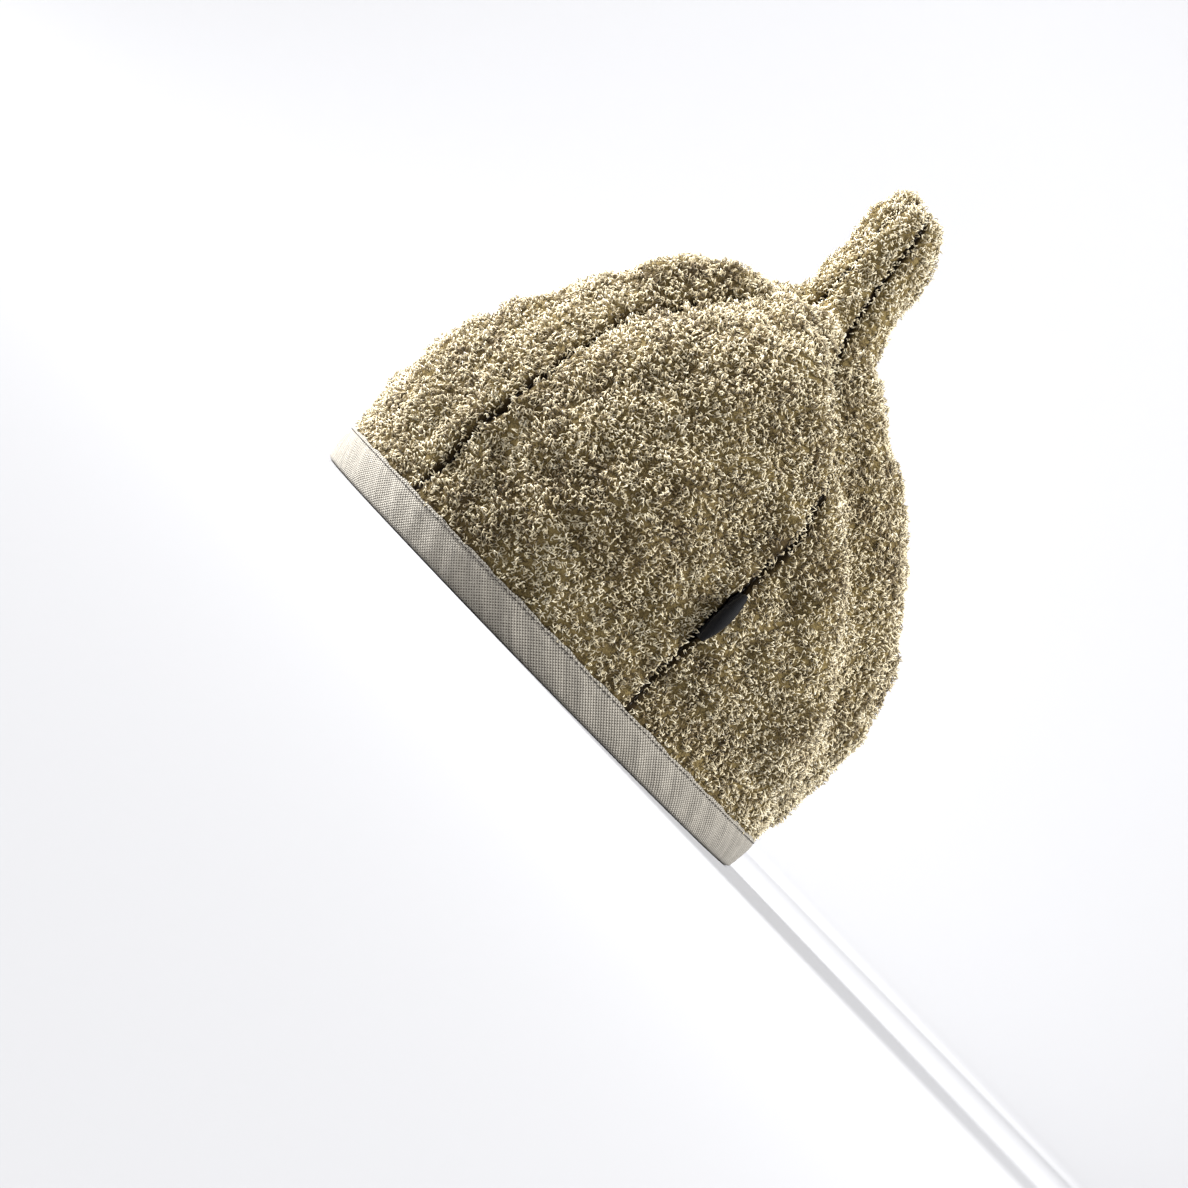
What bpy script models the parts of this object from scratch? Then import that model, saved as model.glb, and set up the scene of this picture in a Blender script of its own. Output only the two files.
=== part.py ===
"""Sauna hat sewn from looped terry cloth: six gores that run up into a blunt stem,
a folded linen binding round the rim, and a small folded ribbon tab in one side seam.

The hat stands on its rim. +Z is up, the front is -Y and the wearer's left is +X.
All lengths are in metres and all azimuths in degrees, from the front towards the left.
"""

import math
from collections import namedtuple

import bmesh
import bpy
import numpy as np

# Outline of the crown and of its stem, over the cloth
RIM_LENGTH = 0.216
RIM_WIDTH = 0.180
CROWN_HEIGHT = 0.164
STEM_LENGTH = 0.056
STEM_FOOT = 0.046
STEM_TIP = 0.030
STEM_LEAN = 0.009

# The cloth, and how far the seams and the deepest fold sink into it
CLOTH_THICKNESS = 0.003
BOUND_CLOTH = 0.0016
SEAM_SINK = 0.0075
FOLD_DEPTH = 0.012

# The binding: a strip folded over the cut edge of the cloth
BAND_HEIGHT = 0.014
BAND_PLY = 0.00085
BAND_INSET = 0.0003
BAND_CHAMFER = 0.0008
BAND_EASE = 0.0022

# The ribbon tab: a folded loop, fullest in its middle, whose two ends are caught in the
# left side seam. It leans to the front.
TAB_HEIGHT = 0.058
TAB_LENGTH = 0.021
TAB_REACH = 0.0085
TAB_BELLY = 0.0042
TAB_ROOT = 0.0022
TAB_PLY = 0.0005
TAB_SLIT = 0.0004
TAB_LEAN = 30.0
TAB_CURL = 0.40
TAB_EASE = 0.004

# What keeps neighbouring pieces apart
SEAM_GAP = 0.0004
CLEARANCE = 0.0003

# How finely the cloth is divided
COLUMNS = 10
ROW_STEP = 0.0085
TIP_STEP = 0.0030
TAB_ROWS = 6
TAB_COLUMNS = 4
TAB_TURNS = 6
PROFILE_STEPS = 400

# Sections of the crown. height, shift, length and width are shares of CROWN_HEIGHT,
# RIM_LENGTH, RIM_LENGTH and RIM_WIDTH, and sink is a share of SEAM_SINK.
Section = namedtuple("Section", "height shift length width sink")
CROWN_SECTIONS = (
    Section(0.00, 0.000, 0.985, 0.985, 0.04),
    Section(0.10, -0.002, 0.995, 0.995, 0.10),
    Section(0.28, -0.002, 1.018, 1.025, 0.30),
    Section(0.42, 0.001, 0.992, 1.025, 0.42),
    Section(0.57, 0.004, 0.900, 0.975, 0.55),
    Section(0.70, -0.006, 0.775, 0.885, 0.68),
    Section(0.81, -0.024, 0.630, 0.755, 0.90),
    Section(0.89, -0.042, 0.490, 0.595, 1.00),
    Section(0.95, -0.052, 0.360, 0.440, 0.80),
)

# Sections of the stem. height is a share of STEM_LENGTH, foot and tip are the shares of
# STEM_FOOT and STEM_TIP that make up its diameter, and sink is a share of SEAM_SINK.
StemSection = namedtuple("StemSection", "height foot tip sink")
STEM_SECTIONS = (
    StemSection(0.00, 1.05, 0.00, 0.45),
    StemSection(0.10, 0.78, 0.14, 0.25),
    StemSection(0.30, 0.54, 0.38, 0.16),
    StemSection(0.60, 0.22, 0.80, 0.13),
    StemSection(0.80, 0.05, 0.97, 0.12),
    StemSection(0.92, 0.00, 0.84, 0.10),
    StemSection(0.98, 0.00, 0.50, 0.05),
    StemSection(1.00, 0.00, 0.08, 0.00),
)

# Azimuths of the three seams of each side, at shares of CROWN_HEIGHT
SeamRow = namedtuple("SeamRow", "height front side back")
SEAM_ROWS = (
    SeamRow(0.00, 31.5, 92.0, 149.0),
    SeamRow(0.38, 31.0, 91.0, 149.0),
    SeamRow(0.55, 25.5, 91.5, 149.0),
    SeamRow(0.67, 21.0, 92.0, 149.0),
    SeamRow(0.80, 22.0, 91.0, 149.0),
    SeamRow(0.94, 28.0, 87.0, 150.0),
    SeamRow(1.10, 30.0, 84.0, 150.0),
    SeamRow(1.35, 30.0, 84.0, 150.0),
)

# Dents, folds and bulges of the soft crown. azimuth and height are where one is deepest,
# slant is how many degrees it moves round over the crown's height, before and after are
# how far it reaches round on its two sides in degrees, reach is how far up and down in
# shares of CROWN_HEIGHT, and depth is a share of FOLD_DEPTH, below zero for a bulge.
Fold = namedtuple("Fold", "azimuth height slant before after reach depth")
FOLDS = (
    Fold(121.0, 0.56, -75.0, 8.0, 17.0, 0.30, 1.00),
    Fold(104.0, 0.54, -75.0, 10.0, 6.0, 0.28, -0.34),
    Fold(148.0, 0.42, -30.0, 13.0, 14.0, 0.20, -0.22),
    Fold(84.0, 0.48, -24.0, 12.0, 5.0, 0.26, 0.30),
    Fold(62.0, 0.76, 0.0, 18.0, 18.0, 0.13, -0.34),
    Fold(10.0, 0.81, 0.0, 16.0, 9.0, 0.11, -0.42),
    Fold(44.0, 0.26, 40.0, 10.0, 10.0, 0.11, 0.26),
    Fold(48.0, 0.53, -20.0, 9.0, 11.0, 0.08, 0.17),
    Fold(62.0, 0.36, 60.0, 9.0, 9.0, 0.16, -0.14),
    Fold(123.0, 0.17, 0.0, 12.0, 12.0, 0.07, 0.22),
    Fold(-58.0, 0.46, 20.0, 14.0, 14.0, 0.16, 0.30),
    Fold(-118.0, 0.58, 50.0, 15.0, 10.0, 0.22, 0.62),
    Fold(-104.0, 0.56, 50.0, 7.0, 10.0, 0.20, -0.18),
    Fold(178.0, 0.50, -15.0, 15.0, 15.0, 0.16, 0.24),
)

# Each gore lies between two of the seams, named side by side from the front round
Gore = namedtuple("Gore", "name first last")
GORES = (
    Gore("panel_front", ("front", -1), ("front", 1)),
    Gore("panel_front_left", ("front", 1), ("side", 1)),
    Gore("panel_back_left", ("side", 1), ("back", 1)),
    Gore("panel_back", ("back", 1), ("back", -1)),
    Gore("panel_back_right", ("back", -1), ("side", -1)),
    Gore("panel_front_right", ("side", -1), ("front", -1)),
)
TAB_SEAM = ("side", 1)

TERRY_COLOUR = (0.47, 0.39, 0.25)
LINEN_COLOUR = (0.46, 0.42, 0.36)
RIBBON_COLOUR = (0.012, 0.012, 0.016)


def profile_rows():
    """The sections as one array: height, shift, half length, half width and seam sink."""
    rows = [
        (
            row.height * CROWN_HEIGHT,
            row.shift * RIM_LENGTH,
            row.length * RIM_LENGTH / 2,
            row.width * RIM_WIDTH / 2,
            row.sink * SEAM_SINK,
        )
        for row in CROWN_SECTIONS
    ]
    foot_shift = CROWN_SECTIONS[-1].shift * RIM_LENGTH
    for row in STEM_SECTIONS:
        radius = (row.foot * STEM_FOOT + row.tip * STEM_TIP) / 2
        shift = foot_shift - row.height * STEM_LEAN
        height = CROWN_HEIGHT + row.height * STEM_LENGTH
        rows.append((height, shift, radius, radius, row.sink * SEAM_SINK))
    return np.array(rows)


def smooth_curve(rows, steps):
    """A Catmull-Rom curve through the rows, with end tangents taken from the end spans."""
    tangents = np.gradient(rows, axis=0)
    at = np.linspace(0, len(rows) - 1, steps)
    span = np.minimum(at.astype(int), len(rows) - 2)
    u = (at - span)[:, None]
    start, end = rows[span], rows[span + 1]
    return (
        start * (2 * u**3 - 3 * u**2 + 1)
        + end * (3 * u**2 - 2 * u**3)
        + tangents[span] * (u**3 - 2 * u**2 + u)
        + tangents[span + 1] * (u**3 - u**2)
    )


SEAMS = smooth_curve(np.array(SEAM_ROWS), PROFILE_STEPS)
PROFILE = smooth_curve(profile_rows(), PROFILE_STEPS)
PROFILE_STEP = np.hypot(
    np.diff(PROFILE[:, 0]), np.diff(PROFILE[:, 2] + PROFILE[:, 3]) / 2
)
PROFILE_AT = np.concatenate([[0.0], np.cumsum(PROFILE_STEP)])
PROFILE_SLOPE = np.gradient(PROFILE, PROFILE_AT, axis=0)


def profile(at):
    """Height, shift, half length, half width and seam sink, at a length along the profile."""
    return [np.interp(at, PROFILE_AT, column) for column in PROFILE.T]


def profile_slope(at):
    """How those change with the length along the profile."""
    return [np.interp(at, PROFILE_AT, column) for column in PROFILE_SLOPE.T]


def length_at(height):
    """The length along the profile at a height."""
    return np.interp(height, PROFILE[:, 0], PROFILE_AT)


def seam_azimuth(seam, at):
    """Azimuth of a seam of the left side, or its mirror image on the right."""
    name, side = seam
    share = profile(at)[0] / CROWN_HEIGHT
    return side * np.interp(share, SEAMS[:, 0], SEAMS[:, SeamRow._fields.index(name)])


def gore_azimuth(gore, at, across):
    """Azimuth at a share of the way across a gore."""
    first, last = seam_azimuth(gore.first, at), seam_azimuth(gore.last, at)
    last = np.where(last < first, last + 360, last)
    return first + (last - first) * across


def fold_relief(azimuth, height):
    """How far the folds push the cloth in, as a sum of smooth dents."""
    share = height / CROWN_HEIGHT
    relief = np.zeros(np.broadcast(azimuth, share).shape)
    for fold in FOLDS:
        centre = fold.azimuth + fold.slant * (share - fold.height)
        around = (azimuth - centre + 180) % 360 - 180
        reach = np.where(around < 0, fold.before, fold.after)
        along = (share - fold.height) / fold.reach
        relief += fold.depth * np.exp(-((around / reach) ** 2) - along**2)
    calm = smooth_step(share, 0.04, 0.20) * (1 - smooth_step(share, 0.90, 1.0))
    return FOLD_DEPTH * relief * calm


def smooth_step(value, low, high):
    """0 below low, 1 above high, and smooth between."""
    u = np.clip((value - low) / (high - low), 0, 1)
    return u * u * (3 - 2 * u)


def in_band(height):
    """1 where the binding covers the cloth, 0 where it has its full thickness."""
    top = BAND_HEIGHT + CLEARANCE
    return 1 - smooth_step(height, top, top + BAND_EASE)


def cloth_point(at, azimuth, across, depth):
    """A point of the crown, depth under the top of the pile."""
    height, shift, half_length, half_width, sink = profile(at)
    rise, push, lengthen, widen, _ = profile_slope(at)
    turn = np.radians(azimuth)
    sin, cos = np.sin(turn), np.cos(turn)
    flat = 0 * turn
    point = np.stack([half_width * sin, shift - half_length * cos, height + flat], -1)
    around = np.stack([half_width * cos, half_length * sin, flat], -1)
    upward = np.stack([widen * sin, push - lengthen * cos, rise + flat], -1)
    out = np.cross(around, upward)
    out[..., 2] *= 1 - in_band(height)
    out /= np.linalg.norm(out, axis=-1, keepdims=True)
    inward = depth + sink * (2 * across - 1) ** 2 + fold_relief(azimuth, height)
    return point - out * inward[..., None]


def outer_depth(height):
    """How deep the cloth's outer side lies: it is pressed in under the binding."""
    return in_band(height) * (BAND_INSET + BAND_PLY + CLEARANCE)


def inner_depth(height):
    """How deep the cloth's inner side lies."""
    pressed = BAND_INSET + BAND_PLY + CLEARANCE + BOUND_CLOTH
    return CLOTH_THICKNESS + in_band(height) * (pressed - CLOTH_THICKNESS)


def tab_slot(seam, height):
    """The room that the tab's root takes from the gore beside it."""
    if seam != TAB_SEAM:
        return 0.0
    past = abs(height - TAB_HEIGHT) - TAB_LENGTH / 2 - CLEARANCE
    return (TAB_SLIT / 2 + TAB_PLY + CLEARANCE) * (1 - smooth_step(past, 0, TAB_EASE))


def gore_rows():
    """Lengths along the profile of the gores' rows of points, with one at each edge."""
    band = BAND_HEIGHT + CLEARANCE
    tab = TAB_LENGTH / 2 + CLEARANCE
    top = CROWN_HEIGHT + STEM_LENGTH
    edges = (
        BAND_PLY + CLEARANCE,
        band,
        band + BAND_EASE,
        TAB_HEIGHT - tab - TAB_EASE,
        TAB_HEIGHT - tab,
        TAB_HEIGHT + tab,
        TAB_HEIGHT + tab + TAB_EASE,
        top - STEM_TIP / 2,
        top,
    )
    stops = [length_at(height) for height in edges]
    rows = [stops[0]]
    for low, high in zip(stops, stops[1:]):
        step = TIP_STEP if high == stops[-1] else ROW_STEP
        count = max(1, round((high - low) / step))
        rows.extend(np.linspace(low, high, count + 1)[1:])
    return rows


def add_object(name, mesh, material, parent):
    """Links a closed mesh as a named object, smooth but for its sharp edges."""
    mesh.normal_update()
    data = bpy.data.meshes.new(name)
    mesh.to_mesh(data)
    mesh.free()
    data.shade_smooth()
    data.set_sharp_from_angle(angle=math.radians(40))
    data.materials.append(material)
    item = bpy.data.objects.new(name, data)
    bpy.context.scene.collection.objects.link(item)
    item.parent = parent
    return item


def loft(sections, closed):
    """Joins equal rings of points by quads: an endless loop, or a bar with capped ends.

    A capped ring is a thin strip: its first half is one side and its second half,
    run backwards, is the other, so the caps are quads from side to side."""
    mesh = bmesh.new()
    rings = [[mesh.verts.new(point) for point in section] for section in sections]
    count = len(rings[0])
    pairs = list(zip(rings, rings[1:]))
    if closed:
        pairs.append((rings[-1], rings[0]))
    for low, high in pairs:
        for i in range(count):
            j = (i + 1) % count
            mesh.faces.new((low[i], low[j], high[j], high[i]))
    if not closed:
        for i in range(count // 2 - 1):
            for ring in (rings[0], rings[-1]):
                mesh.faces.new((ring[i], ring[i + 1], ring[count - 2 - i], ring[count - 1 - i]))
    bmesh.ops.recalc_face_normals(mesh, faces=mesh.faces)
    return mesh


def make_gore(gore, material, parent):
    """One gore: its outer and inner side, row by row, with a gap left at both seams."""
    sections = []
    for at in gore_rows():
        height, _, half_length, half_width, _ = profile(at)
        first, last = gore_azimuth(gore, at, 0.0), gore_azimuth(gore, at, 1.0)
        span = math.radians(last - first) * (half_length + half_width) / 2
        start = (SEAM_GAP / 2 + tab_slot(gore.first, height)) / span
        end = 1 - (SEAM_GAP / 2 + tab_slot(gore.last, height)) / span
        across = np.linspace(start, end, COLUMNS + 1)
        azimuth = gore_azimuth(gore, at, across)
        outer = cloth_point(at, azimuth, across, outer_depth(height))
        inner = cloth_point(at, azimuth, across, inner_depth(height))
        sections.append(np.concatenate([outer, inner[::-1]]))
    return add_object(gore.name, loft(sections, closed=False), material, parent)


def make_binding(material, parent):
    """The folded strip: a flat foot, two legs, and a channel that holds the cloth's edge."""
    outer = BAND_INSET
    inner = BAND_INSET + 2 * (BAND_PLY + CLEARANCE) + BOUND_CLOTH
    outline = (
        (outer + BAND_PLY, BAND_HEIGHT),
        (outer, BAND_HEIGHT),
        (outer, BAND_CHAMFER),
        (outer + BAND_CHAMFER, 0.0),
        (inner - BAND_CHAMFER, 0.0),
        (inner, BAND_CHAMFER),
        (inner, BAND_HEIGHT),
        (inner - BAND_PLY, BAND_HEIGHT),
        (inner - BAND_PLY, BAND_PLY),
        (outer + BAND_PLY, BAND_PLY),
    )
    depths, heights = np.array(outline).T
    at = length_at(heights)
    sections = []
    for gore in GORES:
        for across in np.linspace(0, 1, COLUMNS, endpoint=False):
            azimuth = gore_azimuth(gore, at, across)
            section = cloth_point(at, azimuth, across, depths)
            section[:, 2] = heights  # exactly level, so that the foot is one flat face
            sections.append(section)
    return add_object("rim_binding", loft(sections, closed=True), material, parent)


def ribbon_loop(root, belly, bend):
    """One side of the folded ribbon: from the root out to the bend, while its half width
    grows from root to belly, half a circle round the bend, and back."""
    leg = np.linspace(-TAB_ROOT, bend, TAB_COLUMNS + 2)
    spread = root + (belly - root) * smooth_step(leg, 0, bend)
    turn = np.linspace(0, math.pi, TAB_TURNS + 1)[1:-1]
    along = np.concatenate([leg, bend + belly * np.sin(turn), leg[::-1]])
    aside = np.concatenate([spread, belly * np.cos(turn), -spread[::-1]])
    return np.stack([along, aside], -1)


def lean_forward(outline):
    """Bends an outline of the tab, past its root, round an arc towards the front."""
    along, aside = outline.T
    radius = TAB_REACH / math.radians(TAB_LEAN)
    turn = np.maximum(along, 0) / radius
    out = np.minimum(along, 0) + (radius - aside) * np.sin(turn)
    forward = radius - (radius - aside) * np.cos(turn)
    return out, forward


def make_tab(material, parent):
    """The ribbon tab: its loop, lofted up along the seam. Towards its upper and lower edge
    the loop flattens and reaches less far."""
    gore = GORES[1]
    half = TAB_SLIT / 2
    sections = []
    for share in np.linspace(-1, 1, TAB_ROWS + 1):
        at = length_at(TAB_HEIGHT + share * TAB_LENGTH / 2)
        azimuth = gore_azimuth(gore, at, 1.0)
        root, deep = (cloth_point(at, azimuth, 1.0, depth) for depth in (0.0, TAB_ROOT))
        normal = (root - deep) / TAB_ROOT
        ahead = np.cross(normal, (0, 0, 1))
        ahead /= np.linalg.norm(ahead)
        belly = half + (TAB_BELLY / 2 - half) * (1 - share**2)
        bend = TAB_REACH * (1 - TAB_CURL * share**2) - belly - TAB_PLY
        outer = ribbon_loop(half + TAB_PLY, belly + TAB_PLY, bend)
        inner = ribbon_loop(half, belly, bend)
        out, forward = lean_forward(np.concatenate([outer, inner[::-1]]))
        sections.append(root + np.outer(out, normal) + np.outer(forward, ahead))
    return add_object("side_tab", loft(sections, closed=False), material, parent)


def make_material(name, colour, roughness):
    """A plain woven material: no metal, one colour and one roughness."""
    material = bpy.data.materials.new(name)
    material.use_nodes = True
    shader = material.node_tree.nodes["Principled BSDF"]
    shader.inputs["Base Color"].default_value = (*colour, 1.0)
    shader.inputs["Metallic"].default_value = 0.0
    shader.inputs["Roughness"].default_value = roughness
    return material


def stand_over_origin(hat):
    """Moves the hat level, until the middle of the box that holds it is over the origin."""
    bpy.context.view_layer.update()
    corners = np.array([item.matrix_world @ vertex.co
                        for item in hat.children for vertex in item.data.vertices])
    middle = (corners.min(axis=0) + corners.max(axis=0)) / 2
    hat.location = (-middle[0], -middle[1], 0.0)


def main():
    """Clears the file and builds the hat's pieces under one empty."""
    for item in list(bpy.data.objects):
        bpy.data.objects.remove(item)
    hat = bpy.data.objects.new("hat", None)
    bpy.context.scene.collection.objects.link(hat)
    terry = make_material("terry_cloth", TERRY_COLOUR, 0.95)
    linen = make_material("linen_binding", LINEN_COLOUR, 0.85)
    ribbon = make_material("black_ribbon", RIBBON_COLOUR, 0.55)
    for gore in GORES:
        make_gore(gore, terry, hat)
    make_binding(linen, hat)
    make_tab(ribbon, hat)
    stand_over_origin(hat)


main()
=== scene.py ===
"""Looks of the sauna hat: looped terry over a knitted ground, a bias binding of linen,
its stitches, a ribbon tab, a pale floor and the camera.

The hat's own frame has its rim's centre at the origin, +Z up, the front at -Y and the
wearer's left at +X. Azimuths are in degrees from the front towards the left, and lengths
are in metres. Everything is moved onto the frame by HAT_AT.
"""

import math
from collections import namedtuple

import bpy
import numpy as np
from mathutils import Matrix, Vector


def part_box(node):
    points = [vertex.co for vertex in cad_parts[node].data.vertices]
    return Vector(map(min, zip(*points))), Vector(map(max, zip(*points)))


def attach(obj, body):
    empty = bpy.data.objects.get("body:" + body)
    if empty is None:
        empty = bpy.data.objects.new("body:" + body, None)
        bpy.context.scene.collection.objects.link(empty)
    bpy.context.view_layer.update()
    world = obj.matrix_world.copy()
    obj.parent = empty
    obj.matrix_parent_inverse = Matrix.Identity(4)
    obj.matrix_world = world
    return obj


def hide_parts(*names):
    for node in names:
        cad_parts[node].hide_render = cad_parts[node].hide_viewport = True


bl_info = {
    "name": "Terry sauna hat",
    "version": (1, 0, 0),
    "blender": (4, 5, 0),
    "location": "View3D > Sidebar > Sauna hat",
    "description": "Dresses the packed hat in terry loops, linen and ribbon",
    "category": "Add Mesh",
}

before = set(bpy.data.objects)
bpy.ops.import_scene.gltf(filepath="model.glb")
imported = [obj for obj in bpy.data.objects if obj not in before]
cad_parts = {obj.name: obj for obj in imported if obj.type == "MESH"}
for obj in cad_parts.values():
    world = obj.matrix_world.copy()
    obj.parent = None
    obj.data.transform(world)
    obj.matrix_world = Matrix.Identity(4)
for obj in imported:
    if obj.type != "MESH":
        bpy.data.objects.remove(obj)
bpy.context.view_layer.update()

# The hat's form, as its solids have it
RIM_LENGTH = 0.216
RIM_WIDTH = 0.180
CROWN_HEIGHT = 0.164
STEM_LENGTH = 0.056
STEM_FOOT = 0.046
STEM_TIP = 0.030
STEM_LEAN = 0.009
CLOTH_THICKNESS = 0.003
BOUND_CLOTH = 0.0016
SEAM_SINK = 0.0075
FOLD_DEPTH = 0.012
BAND_HEIGHT = 0.014
BAND_PLY = 0.00085
BAND_INSET = 0.0003
BAND_EASE = 0.0022
CLEARANCE = 0.0003
TAB_HEIGHT = 0.058
TAB_LENGTH = 0.021
TAB_REACH = 0.0085
TAB_BELLY = 0.0042
TAB_ROOT = 0.0022
TAB_PLY = 0.0005
TAB_SLIT = 0.0004
TAB_LEAN = 30.0
TAB_CURL = 0.40
PROFILE_STEPS = 400

# Sections of the crown. height, shift, length and width are shares of CROWN_HEIGHT,
# RIM_LENGTH, RIM_LENGTH and RIM_WIDTH, and sink is a share of SEAM_SINK.
Section = namedtuple("Section", "height shift length width sink")
CROWN_SECTIONS = (
    Section(0.00, 0.000, 0.985, 0.985, 0.04),
    Section(0.10, -0.002, 0.995, 0.995, 0.10),
    Section(0.28, -0.002, 1.018, 1.025, 0.30),
    Section(0.42, 0.001, 0.992, 1.025, 0.42),
    Section(0.57, 0.004, 0.900, 0.975, 0.55),
    Section(0.70, -0.006, 0.775, 0.885, 0.68),
    Section(0.81, -0.024, 0.630, 0.755, 0.90),
    Section(0.89, -0.042, 0.490, 0.595, 1.00),
    Section(0.95, -0.052, 0.360, 0.440, 0.80),
)

# Sections of the stem. height is a share of STEM_LENGTH, foot and tip are the shares of
# STEM_FOOT and STEM_TIP that make up its diameter, and sink is a share of SEAM_SINK.
StemSection = namedtuple("StemSection", "height foot tip sink")
STEM_SECTIONS = (
    StemSection(0.00, 1.05, 0.00, 0.45),
    StemSection(0.10, 0.78, 0.14, 0.25),
    StemSection(0.30, 0.54, 0.38, 0.16),
    StemSection(0.60, 0.22, 0.80, 0.13),
    StemSection(0.80, 0.05, 0.97, 0.12),
    StemSection(0.92, 0.00, 0.84, 0.10),
    StemSection(0.98, 0.00, 0.50, 0.05),
    StemSection(1.00, 0.00, 0.08, 0.00),
)

# Azimuths of the three seams of each side, at shares of CROWN_HEIGHT
SeamRow = namedtuple("SeamRow", "height front side back")
SEAM_ROWS = (
    SeamRow(0.00, 31.5, 92.0, 149.0),
    SeamRow(0.38, 31.0, 91.0, 149.0),
    SeamRow(0.55, 25.5, 91.5, 149.0),
    SeamRow(0.67, 21.0, 92.0, 149.0),
    SeamRow(0.80, 22.0, 91.0, 149.0),
    SeamRow(0.94, 28.0, 87.0, 150.0),
    SeamRow(1.10, 30.0, 84.0, 150.0),
    SeamRow(1.35, 30.0, 84.0, 150.0),
)

# Dents, folds and bulges. azimuth and height are where one is deepest, slant is how many
# degrees it moves round over the crown's height, before, after and reach are how far it
# spreads round and up, and depth is a share of FOLD_DEPTH, below zero for a bulge.
Fold = namedtuple("Fold", "azimuth height slant before after reach depth")
FOLDS = (
    Fold(121.0, 0.56, -75.0, 8.0, 17.0, 0.30, 1.00),
    Fold(104.0, 0.54, -75.0, 10.0, 6.0, 0.28, -0.34),
    Fold(148.0, 0.42, -30.0, 13.0, 14.0, 0.20, -0.22),
    Fold(84.0, 0.48, -24.0, 12.0, 5.0, 0.26, 0.30),
    Fold(62.0, 0.76, 0.0, 18.0, 18.0, 0.13, -0.34),
    Fold(10.0, 0.81, 0.0, 16.0, 9.0, 0.11, -0.42),
    Fold(44.0, 0.26, 40.0, 10.0, 10.0, 0.11, 0.26),
    Fold(48.0, 0.53, -20.0, 9.0, 11.0, 0.08, 0.17),
    Fold(62.0, 0.36, 60.0, 9.0, 9.0, 0.16, -0.14),
    Fold(123.0, 0.17, 0.0, 12.0, 12.0, 0.07, 0.22),
    Fold(-58.0, 0.46, 20.0, 14.0, 14.0, 0.16, 0.30),
    Fold(-118.0, 0.58, 50.0, 15.0, 10.0, 0.22, 0.62),
    Fold(-104.0, 0.56, 50.0, 7.0, 10.0, 0.20, -0.18),
    Fold(178.0, 0.50, -15.0, 15.0, 15.0, 0.16, 0.24),
)

Gore = namedtuple("Gore", "name first last")
GORES = (
    Gore("panel_front", ("front", -1), ("front", 1)),
    Gore("panel_front_left", ("front", 1), ("side", 1)),
    Gore("panel_back_left", ("side", 1), ("back", 1)),
    Gore("panel_back", ("back", 1), ("back", -1)),
    Gore("panel_back_right", ("back", -1), ("side", -1)),
    Gore("panel_front_right", ("side", -1), ("front", -1)),
)

# Fine relief that only the visual cloth has
GROUND_DEPTH = 0.0019
CREASE_DEPTH = 0.0022
CREASE_REACH = 0.0017
STEM_CREASE = 0.35
SEAM_BARE = 0.0008
SEAM_SHORT = 0.0018
STEM_GORE = 0.012
CROWN_GORE = 0.040
PUCKER_HEIGHT = 0.0007
PUCKER_LENGTH = 0.011
PUCKER_REACH = 0.012
PUCKER_STRAY = 1.7
PUCKER_DRIFT = 90.0
PUCKER_SIDES = 3.0
RELIEF_EASE = 0.012
SOFTNESS = 0.0012
SOFT_WAVE = 0.021
SOFT_SEED = 3
CLOTH_COLUMNS = 34
CLOTH_STEP = 0.0045
STITCH_INSET = 0.0010
STITCH_RISE = 0.0003
SEAM_STITCH_PITCH = 1.3
SEAM_STITCH_LENGTH = 0.9
BAND_STITCH_LENGTH = 0.72
ARCH_SHARES = (0.0, 0.2, 0.5, 0.8, 1.0)
ARCH_POWER = 0.85
# Painted shade: the power of the sine by which each loop's tint falls towards its feet
FOOT_PAINTED_SHADE = 1.6

# The pile's two layers of loops, under and upper: loops to the square centimetre, how long
# and how tall they are to the size set, their mean lean in degrees, their painted shade,
# the shares of the way round an arch where it has points, and the seed of the first gore's
Layer = namedtuple("Layer", "per_cm2 long tall lean tint shares seed")
UNDER_LOOPS = Layer(27.0, 0.95, 0.78, 40.0, -0.16, (0.0, 0.28, 0.72, 1.0), 200)
UPPER_LOOPS = Layer(31.0, 1.05, 1.05, 50.0, 0.02, ARCH_SHARES, 100)

# How loops stray: headings in radians, leans in degrees, the rest as shares. Neighbours
# head and lean alike over about a wave's length, and most lean the second of two ways.
LOOP_SINK = 0.0003
HEADING_WAVE = 0.010
HEADING_SEED = 11
HEADING_STRAY = 0.8
LEAN_WAVE = 0.014
LEAN_SEED = 12
LEAN_DRIFT = 12.0
LEAN_STRAY = 13.0
LEAN_RANGE = (6.0, 76.0)
LEAN_ODDS = (0.35, 0.65)
SPAN_RANGE = (0.65, 1.3)
RISE_RANGE = (0.6, 1.15)
RISE_MIDDLE = 0.87
YARN_RANGE = (0.85, 1.15)
SEAM_RISE = 0.7
PILE_EASE = 0.003
PILE_MARGIN = 0.0004

# Places on the yarn's colour ramp, the stem's painted light, and the pile's patches of painted
# light and shade: strength, wave and seed
LOOP_TINT = 0.52
TINT_STRAY = 0.2
STEM_PAINTED_LIGHT = 0.3
GROUND_TINT = 0.95
# The ground takes the pile's painted patches too, at this share
GROUND_PATCHES = 0.9
PAINTED_PATCHES = ((0.15, 0.012, 13), (0.11, 0.035, 14))

# Waves of the linen round the rim: height, number in a round and phase. The ripples stray
# by a wave of radians, and slant by a radian in each RIPPLE_SLANT of height.
Wave = namedtuple("Wave", "height turns phase")
SLOW_WAVES = (Wave(0.00014, 9, 0.0), Wave(0.00010, 23, 1.0))
EDGE_WAVES = (Wave(0.00025, 31, 0.0), Wave(0.00015, 83, 2.0))
RIPPLE_STRAY = (Wave(2.0, 5, 0.0),)
RIPPLE_TURNS = 47
RIPPLE_HEIGHT = 0.00022
RIPPLE_SLANT = 0.0028
PRESSED_FOOT = (0.0008, 0.005)
PRESSED_STITCHES = 0.0013
EDGE_REACH = 0.004
BAND_FOOT = 0.0016
LINING_ROLL = 0.6
ROLL_POWER = 0.7
LEG_POWER = 0.8
BAND_STEPS = 90
TAB_ROWS = 32
TAB_COLUMNS = 14
TAB_TURNS = 13
SIZE_EASE = 0.0015

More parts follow.
